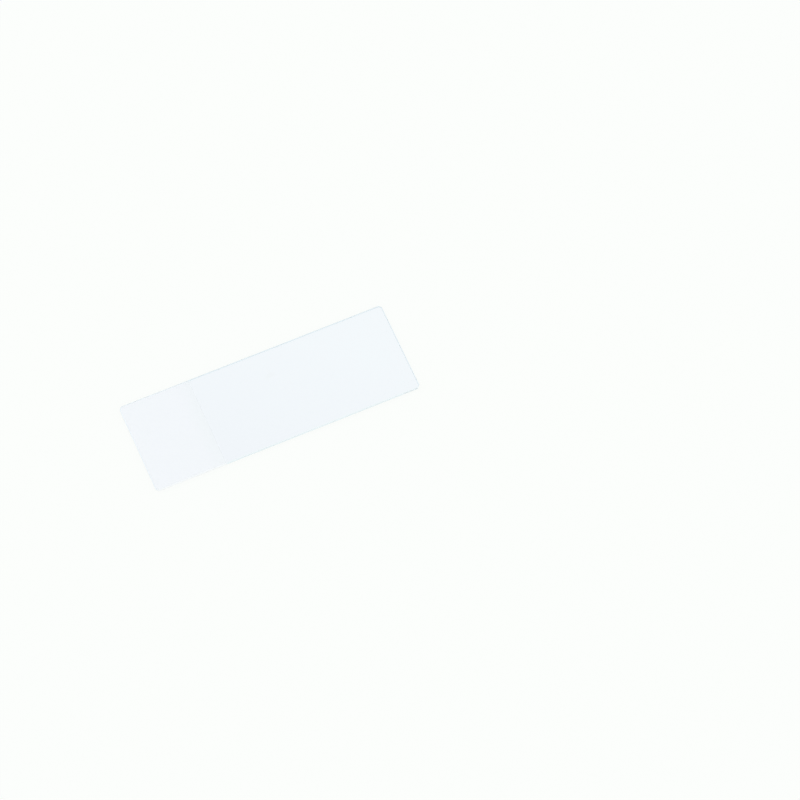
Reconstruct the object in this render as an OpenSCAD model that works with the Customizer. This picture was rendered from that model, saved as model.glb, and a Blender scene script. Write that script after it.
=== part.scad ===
// Laboratory microscope slide: one plate of glass with ground edges, clipped
// corners and one frosted end. It lies flat, frosted face up. The origin is
// at the centre of the underside, and X runs from the frosted end to the
// clear end.

/* [Plate] */
// Length of the plate, along X
plate_l = 76; // [50:0.5:100]
// Width of the plate, along Y
plate_w = 26; // [20:0.5:60]
// Thickness of the glass
plate_t = 1; // [0.8:0.05:2]

/* [Corners and edges] */
// Length that the cut across a corner takes off both of its sides
corner_cut = 0.7; // [0.4:0.1:4]
// Width of the small bevel ground round both faces
bevel = 0.15; // [0.05:0.05:0.35]

/* [Frosted end] */
// Length of the frosted end, from its short side
frost_l = 20; // [5:0.5:40]
// Depth of the ground surface below the clear face
frost_d = 0.02; // [0.01:0.01:0.04]

/* [Hidden] */

glass_colour = [0.80, 0.91, 0.94];

// Angle of the corner cuts, from the long side
corner_angle = 45;

// Distance between two opposite corner cuts, square to both
across_corners = (plate_l + plate_w - 2 * corner_cut) * sin(corner_angle);

// A bar is longer than the plate is across, whichever way it lies
bar_l = plate_l + plate_w;

// The frosting cut runs this far past the faces that it opens
over = 1;

// Section of a bar w wide: the thickness of the glass, bevelled along all
// four edges
function ground_section(w) = [
    [-w / 2 + bevel, 0],
    [w / 2 - bevel, 0],
    [w / 2, bevel],
    [w / 2, plate_t - bevel],
    [w / 2 - bevel, plate_t],
    [-w / 2 + bevel, plate_t],
    [-w / 2, plate_t - bevel],
    [-w / 2, bevel]
];

// Bar w wide that lies flat on the XY plane, at this angle from X
module ground_bar(w, angle) {
    rotate([0, 0, angle])
        rotate([90, 0, 90])
            linear_extrude(height = bar_l, center = true)
                polygon(ground_section(w));
}

// The plate is what four bars have in common: one gives the long sides,
// one the short sides, and two the corner cuts
module ground_plate() {
    intersection() {
        ground_bar(plate_w, 0);
        ground_bar(plate_l, 90);
        ground_bar(across_corners, corner_angle);
        ground_bar(across_corners, -corner_angle);
    }
}

// Layer of glass that the frosting takes off, out past the three sides
// round the frosted end
module frosting_cut() {
    translate([-plate_l / 2 - over, -plate_w / 2 - over, plate_t - frost_d])
        cube([frost_l + over, plate_w + 2 * over, frost_d + over]);
}

module glass_slide() {
    color(glass_colour)
        difference() {
            ground_plate();
            frosting_cut();
        }
}

glass_slide();
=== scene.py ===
"""Looks of a laboratory microscope slide that lies on a pale studio floor.

The slide is one mesh that stands for the CAD plate, with four finishes:
polished faces, a frosted end, ground edges, and paler ground edges round the
frosted end. Lengths are in metres and angles in degrees, but for a texture's
turn, which is in radians.
"""

import math

import bpy
from mathutils import Matrix, Vector, noise


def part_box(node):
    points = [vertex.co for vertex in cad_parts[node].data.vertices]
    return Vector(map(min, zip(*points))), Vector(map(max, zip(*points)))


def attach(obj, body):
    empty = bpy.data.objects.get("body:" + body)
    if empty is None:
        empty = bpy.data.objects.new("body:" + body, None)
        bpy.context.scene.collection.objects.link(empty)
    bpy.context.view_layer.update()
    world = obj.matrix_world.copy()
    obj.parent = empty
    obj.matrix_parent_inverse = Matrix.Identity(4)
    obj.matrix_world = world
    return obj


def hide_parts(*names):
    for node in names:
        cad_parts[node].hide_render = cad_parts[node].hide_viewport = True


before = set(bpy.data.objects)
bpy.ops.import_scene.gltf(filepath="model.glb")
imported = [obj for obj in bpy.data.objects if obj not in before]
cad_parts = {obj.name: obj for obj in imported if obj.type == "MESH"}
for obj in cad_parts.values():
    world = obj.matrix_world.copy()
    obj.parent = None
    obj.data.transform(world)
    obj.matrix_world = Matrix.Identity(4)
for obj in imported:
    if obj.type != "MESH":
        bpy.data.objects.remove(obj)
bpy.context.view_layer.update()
bpy.context.scene.view_settings.view_transform = "Standard"

MM = 0.001

# The plate, from the CAD solid's own box
LOW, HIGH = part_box("glass_slide")
LENGTH = HIGH.x - LOW.x
WIDTH = HIGH.y - LOW.y
TOP = HIGH.z
BOTTOM = LOW.z

# The features of the CAD solid that its box doesn't give
CORNER_CUT = 0.7 * MM
BEVEL = 0.15 * MM
FROST_LENGTH = 20.0 * MM
FROST_DEPTH = 0.02 * MM
FROST_X = LOW.x + FROST_LENGTH
FROST_TOP = TOP - FROST_DEPTH

# How the plan's corners and ground edges are worked
CORNER_ROUND = 0.25 * MM
CORNER_STEPS = 5
EDGE_STEP = 0.5 * MM
BEVEL_WOBBLE = 0.02 * MM
WOBBLE_LENGTH = 2.5 * MM
WOBBLE_APART = 50 * MM

# Places in the ring of points at one point of the outline, from the underside up
UNDERSIDE, FROSTED_FACE, CLEAR_FACE = 0, 3, 4
# A normal at least this much along Y belongs to a long side
ALONG_Y = 0.999

# The mesh's materials, in this order
CLEAR, FROSTED, GROUND, FROSTED_GROUND = range(4)

# A faint dried mark on the clear face, from the slide's middle, and its fainter tail
MARK_PLACE = (2.55 * MM, 5.7 * MM, TOP)
MARK_SIZE = (1.7 * MM, 0.85 * MM, 0.3 * MM)
TAIL_PLACE = (2.75 * MM, 7.0 * MM, TOP)
TAIL_SIZE = (0.6 * MM, 1.1 * MM, 0.3 * MM)
TAIL_STRENGTH = 0.5
# How far out, in its own sizes, a mark ends and is full, and how ragged its rim is
MARK_RIM = 1.6
MARK_FULL = 0.9
MARK_RAGGED = 0.9
MARK_GRAIN = 2.5 / MM
MARK_ROUGHNESS = 0.03
MARK_BUMP = (0.1, 0.004 * MM)
# Painted shade on the glass, from none to full across the plate in this direction: darker towards
# the near side and the frosted end
PAINTED_SHADE_TURN = -0.98
PAINTED_SHADE_FROM = 18 * MM
PAINTED_SHADE_TO = -20 * MM
PAINTED_SHADE_RAGGED = 8 * MM
PAINTED_SHADE_CLOUDS = 0.06 / MM
# Faint wiping smears on the polished faces: their fineness each way, their turn in
# radians, the part of the noise that shows, and how rough they are
SMEAR_FINENESS = (0.35 / MM, 1.2 / MM, 1 / MM)
SMEAR_TURN = 0.3
SMEAR_PART = (0.45, 0.8)
SMEAR_ROUGHNESS = 0.03
# Width over which the underside's tint changes at the frosting's line
LINE_WIDTH = 0.1 * MM

# The frosting is a little darker over this width by its line
FROST_BAND = 4.5 * MM
BAND_SHARE = 0.7
FROST_GRAIN = 6 / MM
FROST_GRAIN_SHADE = (0.0, 0.1)
FROST_CLOUDS = 0.25 / MM
FROST_CLOUD_SHADE = (-0.05, 0.1)
FROST_ROUGHNESS = (0.14, 0.24)
FROST_BUMP = (0.35, 0.02 * MM)

# Streaks of the wheel along the ground edges: long in the plan and thin in height
STREAK_FINENESS = (0.6 / MM, 0.6 / MM, 18 / MM)
STREAK_SHADE = (0.0, 0.2)
# The share by which the ground edges' near side is painted paler: painted light
NEAR_SHARE = 0.8
GROUND_ROUGHNESS = (0.19, 0.26)
NEAR_SMOOTHER = 0.11
GROUND_BUMP = (0.3, 0.01 * MM)

# Noise lies round 0.5: the parts of its range that are stretched to full
NOISE_MIDDLE = (0.35, 0.65)
NOISE_WIDE = (0.3, 0.7)

# Where the camera stands, from the point that it looks at
CAMERA_AZIMUTH = -28.4
CAMERA_ELEVATION = 66.7
CAMERA_ROLL = 4.8
CAMERA_DISTANCE = 1.182
CAMERA_LENS = 200.0
CAMERA_CLIP = 0.01
# The point lies beyond the clear end and the near side, so that the slide is left of the middle
AIM = Vector((31.55 * MM, -14.25 * MM, TOP / 2))

# The room. Straight overhead it is as white as the floor
WHITE = (0.973, 0.991, 0.973, 1.0)
HORIZON = (0.82, 0.86, 0.89, 1.0)
WHITE_FROM_HEIGHT = 0.6
ROOM_LIGHT = (1.0, 1.0, 1.0, 1.0)
ROOM_STRENGTH = 0.75
FLOOR_SIZE = 6.0
FLOOR_GAP = 0.01 * MM
BACKGROUND_SHARE = 0.95
# Each lamp's place, width of its square and power
KEY_LAMP = ((-1.6, 1.7, 2.2), 2.4, 27.0)
FILL_LAMP = ((2.0, -1.2, 2.0), 2.4, 13.0)
# Light that a ground edge lets in is led along inside the plate by many reflections
LIGHT_BOUNCES = 128

# Colours of the four finishes, most with a second colour for their marks, for painted shade or for
# a near side painted paler
GLASS_IOR = 1.52
CLEAR_TINT = (0.921, 0.950, 0.998, 1.0)
# The darker colour of the painted shade across the clear glass
PAINTED_SHADE_TINT = (0.898, 0.923, 0.981, 1.0)
MARK_TINT = (0.896, 0.921, 0.958, 1.0)
FROST_TINT = (0.930, 0.949, 1.0, 1.0)
FROST_BAND_TINT = (0.88, 0.922, 0.955, 1.0)
# From outside the frosting lets this share of the light through, and scatters the rest
# back, so that it shows on a dark ground as well. Light from inside it lets through whole.
# That is a stand-in: otherwise ground edges come out dark grey
FROST_CLEARNESS = 0.85
# The ground edges' near side is paler: a stand-in for what on real glass only the light does
GROUND_TINT = (0.71, 0.86, 0.965, 1.0)
NEAR_GROUND_TINT = (0.94, 1.0, 1.0, 1.0)
# Round the frosted end the ground edge is paler. Its index of refraction is a stand-in:
# with the glass's own, this edge comes out too dark
FROSTED_GROUND_IOR = 1.15
FROSTED_GROUND_TINT = (0.835, 0.92, 1.0, 1.0)
# Its near side is painted paler still: painted light
NEAR_FROSTED_GROUND_TINT = (1.0, 1.0, 1.0, 1.0)


class Nodes:
    """A node tree that is built by short calls."""

    def __init__(self, tree):
        self.tree = tree

    def add(self, kind, values=(), **settings):
        node = self.tree.nodes.new(kind)
        for name, value in settings.items():
            setattr(node, name, value)
        for name, value in dict(values).items():
            if isinstance(value, bpy.types.NodeSocket):
                self.tree.links.new(value, node.inputs[name])
            else:
                node.inputs[name].default_value = value
        return node

    def math(self, operation, a, b=0.0):
        return self.add("ShaderNodeMath", {0: a, 1: b}, operation=operation).outputs[0]

    def ramp(self, value, low, high, to_low=0.0, to_high=1.0):
        """Value, moved from the range low to high onto the range to_low to to_high."""
        node = self.add("ShaderNodeMapRange", {
            "Value": value, "From Min": low, "From Max": high,
            "To Min": to_low, "To Max": to_high,
        })
        return node.outputs["Result"]

    def tint(self, amount, low, high):
        """Colour between low and high by an amount from 0 to 1."""
        node = self.add("ShaderNodeMix", {0: amount, 6: low, 7: high}, data_type="RGBA")
        return node.outputs[2]

    def place(self):
        return self.add("ShaderNodeTexCoord").outputs["Object"]

    def mapped(self, vector, shift=(0, 0, 0), scale=(1, 1, 1), turn=0.0):
        """Vector from the point shift, turned about Z, then scaled."""
        moved = self.add("ShaderNodeVectorMath", {0: vector, 1: shift}, operation="SUBTRACT")
        turned = self.add("ShaderNodeVectorRotate", {
            "Vector": moved.outputs[0], "Angle": turn}, rotation_type="Z_AXIS")
        scaled = self.add("ShaderNodeVectorMath", {
            0: turned.outputs[0], 1: scale}, operation="MULTIPLY")
        return scaled.outputs[0]

    def axis(self, vector, letter):
        return self.add("ShaderNodeSeparateXYZ", {"Vector": vector}).outputs[letter]

    def length(self, vector):
        node = self.add("ShaderNodeVectorMath", {0: vector}, operation="LENGTH")
        return node.outputs["Value"]

    def noise(self, vector, detail):
        node = self.add("ShaderNodeTexNoise", {"Vector": vector, "Scale": 1.0, "Detail": detail})
        return node.outputs["Fac"]

    def blot(self, vector, middle, size, ragged):
        """1 in the middle of a small oval mark, and 0 beyond its ragged rim."""
        spot = self.mapped(vector, shift=middle, scale=[1 / side for side in size])
        reach = self.math("ADD", self.length(spot), self.math("MULTIPLY", ragged, MARK_RAGGED))
        return self.ramp(reach, MARK_RIM, MARK_FULL)

    def bump(self, height, strength, distance):
        node = self.add("ShaderNodeBump", {
            "Height": height, "Strength": strength, "Distance": distance})
        return node.outputs["Normal"]

    def set(self, shader, name, value):
        self.tree.links.new(value, shader.inputs[name])

    def seen_directly(self):
        """1 for a ray from the camera, off a gloss or through glass, but 0 for
        light that is on its way to a matt surface."""
        path = self.add("ShaderNodeLightPath")
        glossy_or_through = self.math(
            "MAXIMUM", path.outputs["Is Glossy Ray"], path.outputs["Is Transmission Ray"])
        direct = self.math("MAXIMUM", path.outputs["Is Camera Ray"], glossy_or_through)
        matt = self.math("GREATER_THAN", path.outputs["Diffuse Depth"], 0.5)
        return self.math("SUBTRACT", direct, matt)


def allow_bounces(count):
    cycles = bpy.context.scene.cycles
    cycles.max_bounces = count
    cycles.transmission_bounces = count
    cycles.glossy_bounces = count


def make_camera():
    data = bpy.data.cameras.new("camera")
    data.lens = CAMERA_LENS
    data.clip_start = CAMERA_CLIP
    camera = bpy.data.objects.new("camera", data)
    bpy.context.scene.collection.objects.link(camera)
    azimuth = math.radians(CAMERA_AZIMUTH)
    elevation = math.radians(CAMERA_ELEVATION)
    back = Vector((
        math.sin(azimuth) * math.cos(elevation),
        -math.cos(azimuth) * math.cos(elevation),
        math.sin(elevation),
    ))
    level = (-back).to_track_quat("-Z", "Y").to_matrix()
    roll = Matrix.Rotation(math.radians(CAMERA_ROLL), 3, "Z")
    camera.matrix_world = (level @ roll).to_4x4()
    camera.location = AIM + back * CAMERA_DISTANCE
    bpy.context.scene.camera = camera


def make_world():
    """A pale room: white overhead, a little darker towards the horizon."""
    world = bpy.data.worlds.new("studio")
    bpy.context.scene.world = world
    world.use_nodes = True
    world.node_tree.nodes.clear()
    nodes = Nodes(world.node_tree)
    light = nodes.add("ShaderNodeBackground", {"Color": ROOM_LIGHT, "Strength": ROOM_STRENGTH})
    way = nodes.add("ShaderNodeTexCoord").outputs["Generated"]
    height = nodes.axis(way, "Z")
    shade = nodes.tint(nodes.ramp(height, 0.0, WHITE_FROM_HEIGHT), HORIZON, WHITE)
    seen = nodes.add("ShaderNodeBackground", {"Color": shade})
    mix = nodes.add("ShaderNodeMixShader", {
        "Fac": nodes.seen_directly(), 1: light.outputs[0], 2: seen.outputs[0]})
    nodes.add("ShaderNodeOutputWorld", {"Surface": mix.outputs[0]})


def make_floor():
    material = bpy.data.materials.new("floor")
    material.use_nodes = True
    material.node_tree.nodes.clear()
    nodes = Nodes(material.node_tree)
    matt = nodes.add("ShaderNodeBsdfDiffuse", {"Color": WHITE})
    glow = nodes.add("ShaderNodeEmission", {"Color": WHITE})
    camera_ray = nodes.add("ShaderNodeLightPath").outputs["Is Camera Ray"]
    lit_share = nodes.math("MULTIPLY", camera_ray, 1 - BACKGROUND_SHARE)
    share = nodes.math("SUBTRACT", nodes.seen_directly(), lit_share)
    mix = nodes.add("ShaderNodeMixShader", {"Fac": share, 1: matt.outputs[0], 2: glow.outputs[0]})
    nodes.add("ShaderNodeOutputMaterial", {"Surface": mix.outputs[0]})
    half = FLOOR_SIZE / 2
    mesh = bpy.data.meshes.new("floor")
    corners = [(-half, -half, 0), (half, -half, 0), (half, half, 0), (-half, half, 0)]
    mesh.from_pydata(corners, [], [(0, 1, 2, 3)])
    mesh.materials.append(material)
    floor = bpy.data.objects.new("floor", mesh)
    floor.location.z = BOTTOM - FLOOR_GAP
    bpy.context.scene.collection.objects.link(floor)


def make_lamp(name, place, size, power):
    """A soft lamp for the matt surfaces: a gloss shows only the room's own white."""
    data = bpy.data.lights.new(name, "AREA")
    data.shape = "SQUARE"
    data.size = size
    data.energy = power
    lamp = bpy.data.objects.new(name, data)
    lamp.location = place
    lamp.rotation_mode = "QUATERNION"
    lamp.rotation_quaternion = (-Vector(place)).to_track_quat("-Z", "Y")
    lamp.visible_glossy = False
    lamp.visible_transmission = False
    bpy.context.scene.collection.objects.link(lamp)


# ---- the plate's mesh ----

def plan_sides():
    """The near half of the plan, from the middle of the frosted end round to
    the middle of the clear end: each side's two ends and its outward normal."""
    a, b, c = LENGTH / 2, WIDTH / 2, CORNER_CUT
    corners = [
        Vector((-a, 0)), Vector((-a, c - b)), Vector((c - a, -b)),
        Vector((a - c, -b)), Vector((a, c - b)), Vector((a, 0)),
    ]
    sides = []
    for start, end in zip(corners, corners[1:]):
        along = (end - start).normalized()
        sides.append((start, end, Vector((along.y, -along.x))))
    return sides


def half_outline():
    """Points round the near half as (centre, normal): the outline lies
    CORNER_ROUND out from each centre, so that its corners are arcs."""
    sides = plan_sides()
    centres = [sides[0][0] - sides[0][2] * CORNER_ROUND]
    for (_, corner, before), (_, _, after) in zip(sides, sides[1:]):
        centres.append(corner - (before + after) * (CORNER_ROUND / (1 + before.dot(after))))
    centres.append(sides[-1][1] - sides[-1][2] * CORNER_ROUND)
    points = []
    for k, (_, _, normal) in enumerate(sides):
        start, end = centres[k], centres[k + 1]
        stops = [start, end]
        if start.x < FROST_X < end.x:
            stops.insert(1, start.lerp(end, (FROST_X - start.x) / (end.x - start.x)))
        for first, last in zip(stops, stops[1:]):
            count = max(1, round((last - first).length / EDGE_STEP))
            points += [(first.lerp(last, i / count), normal) for i in range(count)]
        points.append((end, normal))
        if k + 1 < len(sides):
            turn = normal.angle_signed(sides[k + 1][2])
            for i in range(1, CORNER_STEPS):
                turned = normal.copy()
                turned.rotate(Matrix.Rotation(-turn * i / CORNER_STEPS, 2))
                points.append((end, turned))
    return points


def wobble(place, seed):
    """Smooth unevenness of the grinding at this place, from 0 to 1."""
    where = Vector((place.x, place.y, seed * WOBBLE_APART)) / WOBBLE_LENGTH
    return 0.5 + 0.5 * noise.noise(where)


def ring_places(centre, normal):
    """The section of the ground edge at one point of the plan, from the
    underside up, and the point on the clear face above the frosting."""
    uneven_low = BEVEL_WOBBLE * wobble(centre + normal * CORNER_ROUND, 1)
    uneven_high = BEVEL_WOBBLE * wobble(centre + normal * CORNER_ROUND, 2)
    section = [
        (BEVEL + uneven_low, BOTTOM),
        (0.0, BOTTOM + BEVEL + uneven_low),
        (0.0, TOP - BEVEL - uneven_high),
        (BEVEL + uneven_high - FROST_DEPTH, FROST_TOP),
        (BEVEL + uneven_high, TOP),
    ]
    return [
        (centre + normal * (CORNER_ROUND - inset)).to_3d() + Vector((0, 0, z))
        for inset, z in section
    ]


def make_slide(materials):
    near = half_outline()
    far = [(Vector((c.x, -c.y)), Vector((n.x, -n.y))) for c, n in near]
    loop = near + far[-2:0:-1]
    count = len(near)
    total = len(loop)

    def across(i):
        """Index round the loop of the point that faces near point i."""
        return (total - i) % total

    vertices = []
    rings = []
    for centre, normal in loop:
        places = ring_places(centre, normal)
        if (centre + normal * CORNER_ROUND).x < FROST_X - FROST_DEPTH:
            places = places[:CLEAR_FACE]
        rings.append(range(len(vertices), len(vertices) + len(places)))
        vertices += places
    faces = []
    finishes = []

    def add(face, finish):
        faces.append(face)
        finishes.append(finish)

    # The ground edge, from the underside up; the clear face has one ring more
    for i in range(total):
        here, there = rings[i], rings[(i + 1) % total]
        count_up = min(len(here), len(there)) - 1
        for k in range(count_up):
            finish = GROUND if count_up == CLEAR_FACE else FROSTED_GROUND
            add([here[k], there[k], there[k + 1], here[k + 1]], finish)

    def add_end(corners, middle_x, finish):
        """A flat face at an end, in triangles round a point inside it."""
        vertices.append(Vector((middle_x, 0, vertices[corners[0]].z)))
        for here, there in zip(corners, corners[1:] + corners[:1]):
            add([here, there, len(vertices) - 1], finish)

    # The flat faces, in strips across the plate from one long side to the other
    long_side = [i for i in range(count) if near[i][1].y < -ALONG_Y]
    line = next(i for i in range(count) if len(rings[i]) > CLEAR_FACE)
    start, stop = long_side[0], long_side[-1]
    for i in range(start + 1, stop - 1):
        strip = [across(i), i, i + 1, across(i + 1)]
        top, finish = (FROSTED_FACE, FROSTED) if i < line else (CLEAR_FACE, CLEAR)
        add([rings[p][top] for p in strip], finish)
        add([rings[p][UNDERSIDE] for p in reversed(strip)], CLEAR)

    # The same at the two ends, out to their clipped corners
    frosted_end = [across(i) for i in range(start + 1, 0, -1)] + list(range(start + 2))
    clear_end = list(range(stop - 1, count)) + [across(i) for i in range(count - 2, stop - 2, -1)]
    inset = CORNER_CUT / 2
    add_end([rings[p][FROSTED_FACE] for p in frosted_end], LOW.x + inset, FROSTED)
    add_end([rings[p][UNDERSIDE] for p in reversed(frosted_end)], LOW.x + inset, CLEAR)
    add_end([rings[p][CLEAR_FACE] for p in clear_end], HIGH.x - inset, CLEAR)
    add_end([rings[p][UNDERSIDE] for p in reversed(clear_end)], HIGH.x - inset, CLEAR)

    # The small step at the line of the frosting
    near_line, far_line = rings[line], rings[across(line)]
    add([
        near_line[CLEAR_FACE], far_line[CLEAR_FACE],
        far_line[FROSTED_FACE], near_line[FROSTED_FACE],
    ], FROSTED)

    mesh = bpy.data.meshes.new("slide_glass")
    mesh.from_pydata(vertices, [], faces)
    for material in materials:
        mesh.materials.append(material)
    mesh.polygons.foreach_set("material_index", finishes)
    mesh.validate(verbose=True)
    slide = bpy.data.objects.new("slide_glass", mesh)
    bpy.context.scene.collection.objects.link(slide)
    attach(slide, "root")
    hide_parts("glass_slide")


# ---- materials ----

def start_glass(name, ior=GLASS_IOR):
    """A Principled glass and the nodes to go on with."""
    material = bpy.data.materials.new(name)
    material.use_nodes = True
    tree = material.node_tree
    shader = tree.nodes["Principled BSDF"]
    shader.inputs["Transmission Weight"].default_value = 1.0
    shader.inputs["IOR"].default_value = ior
    nodes = Nodes(tree)
    return material, shader, nodes


def clear_glass():
    """Polished glass with faint wiping smears, one faint dried mark, and painted shade that
    darkens it towards the near side and the frosted end.
    """
    material, shader, nodes = start_glass("glass_clear")
    place = nodes.place()
    smears = nodes.noise(
        nodes.mapped(place, scale=SMEAR_FINENESS, turn=SMEAR_TURN), detail=3.0)
    ragged = nodes.noise(nodes.mapped(place, scale=(MARK_GRAIN,) * 3), detail=2.0)
    main = nodes.blot(place, MARK_PLACE, MARK_SIZE, ragged)
    tail = nodes.blot(place, TAIL_PLACE, TAIL_SIZE, ragged)
    mark = nodes.math("MAXIMUM", main, nodes.math("MULTIPLY", tail, TAIL_STRENGTH))
    # Painted shade: the glass darker across the plate towards the near side and the frosted end
    uneven = nodes.noise(nodes.mapped(place, scale=(PAINTED_SHADE_CLOUDS,) * 3), detail=1.0)
    across = nodes.math("ADD", nodes.axis(nodes.mapped(place, turn=PAINTED_SHADE_TURN), "X"), nodes.math(
        "MULTIPLY", nodes.math("SUBTRACT", uneven, 0.5), PAINTED_SHADE_RAGGED))
    painted_shade = nodes.ramp(across, PAINTED_SHADE_FROM, PAINTED_SHADE_TO)
    marked = nodes.tint(mark, nodes.tint(painted_shade, CLEAR_TINT, PAINTED_SHADE_TINT), MARK_TINT)
    under_frost = nodes.ramp(nodes.axis(place, "X"), FROST_X, FROST_X - LINE_WIDTH)
    nodes.set(shader, "Base Color", nodes.tint(under_frost, marked, FROST_TINT))
    haze = nodes.ramp(smears, *SMEAR_PART, 0.0, SMEAR_ROUGHNESS)
    dull = nodes.math("MULTIPLY", mark, MARK_ROUGHNESS)
    nodes.set(shader, "Roughness", nodes.math("ADD", haze, dull))
    nodes.set(shader, "Normal", nodes.bump(mark, *MARK_BUMP))
    return material


def frosted_glass():
    """Etched glass: a fine grain, a little cloudy, and a darker band that
    fades out from the line where the frosting stops. It scatters light back
    from outside only."""
    material, shader, nodes = start_glass("glass_frosted")
    inside = nodes.add("ShaderNodeNewGeometry").outputs["Backfacing"]
    nodes.set(shader, "Transmission Weight", nodes.ramp(inside, 0.0, 1.0, FROST_CLEARNESS, 1.0))
    place = nodes.place()
    grain = nodes.noise(nodes.mapped(place, scale=(FROST_GRAIN,) * 3), detail=4.0)
    cloud = nodes.noise(nodes.mapped(place, scale=(FROST_CLOUDS,) * 3), detail=3.0)
    band = nodes.ramp(nodes.axis(place, "X"), FROST_X - FROST_BAND, FROST_X)
    shade = nodes.math(
        "ADD", nodes.math("MULTIPLY", band, BAND_SHARE),
        nodes.ramp(grain, *NOISE_MIDDLE, *FROST_GRAIN_SHADE))
    shade = nodes.math("ADD", shade, nodes.ramp(cloud, *NOISE_WIDE, *FROST_CLOUD_SHADE))
    nodes.set(shader, "Base Color", nodes.tint(shade, FROST_TINT, FROST_BAND_TINT))
    nodes.set(shader, "Roughness", nodes.ramp(grain, *NOISE_WIDE, *FROST_ROUGHNESS))
    nodes.set(shader, "Normal", nodes.bump(grain, *FROST_BUMP))
    return material


def ground_glass(name, ior, tint, near_tint):
    """A ground edge, with the fine streaks that the wheel left along it, and
    paler and a little smoother along the near side; the paleness is painted light."""
    material, shader, nodes = start_glass(name, ior)
    place = nodes.place()
    streaks = nodes.noise(nodes.mapped(place, scale=STREAK_FINENESS), detail=3.0)
    near = nodes.ramp(nodes.axis(place, "Y"), LOW.y + CORNER_CUT, LOW.y)
    paler = nodes.math(
        "ADD", nodes.math("MULTIPLY", near, NEAR_SHARE),
        nodes.ramp(streaks, *NOISE_MIDDLE, *STREAK_SHADE))
    rough = nodes.math(
        "SUBTRACT", nodes.ramp(streaks, *NOISE_WIDE, *GROUND_ROUGHNESS),
        nodes.math("MULTIPLY", near, NEAR_SMOOTHER))
    nodes.set(shader, "Base Color", nodes.tint(paler, tint, near_tint))
    nodes.set(shader, "Roughness", rough)
    nodes.set(shader, "Normal", nodes.bump(streaks, *GROUND_BUMP))
    return material


make_camera()
allow_bounces(LIGHT_BOUNCES)
make_world()
make_floor()
make_lamp("key", *KEY_LAMP)
make_lamp("fill", *FILL_LAMP)
make_slide([
    clear_glass(),
    frosted_glass(),
    ground_glass("glass_ground", GLASS_IOR, GROUND_TINT, NEAR_GROUND_TINT),
    ground_glass(
        "glass_ground_frosted", FROSTED_GROUND_IOR, FROSTED_GROUND_TINT, NEAR_FROSTED_GROUND_TINT),
])
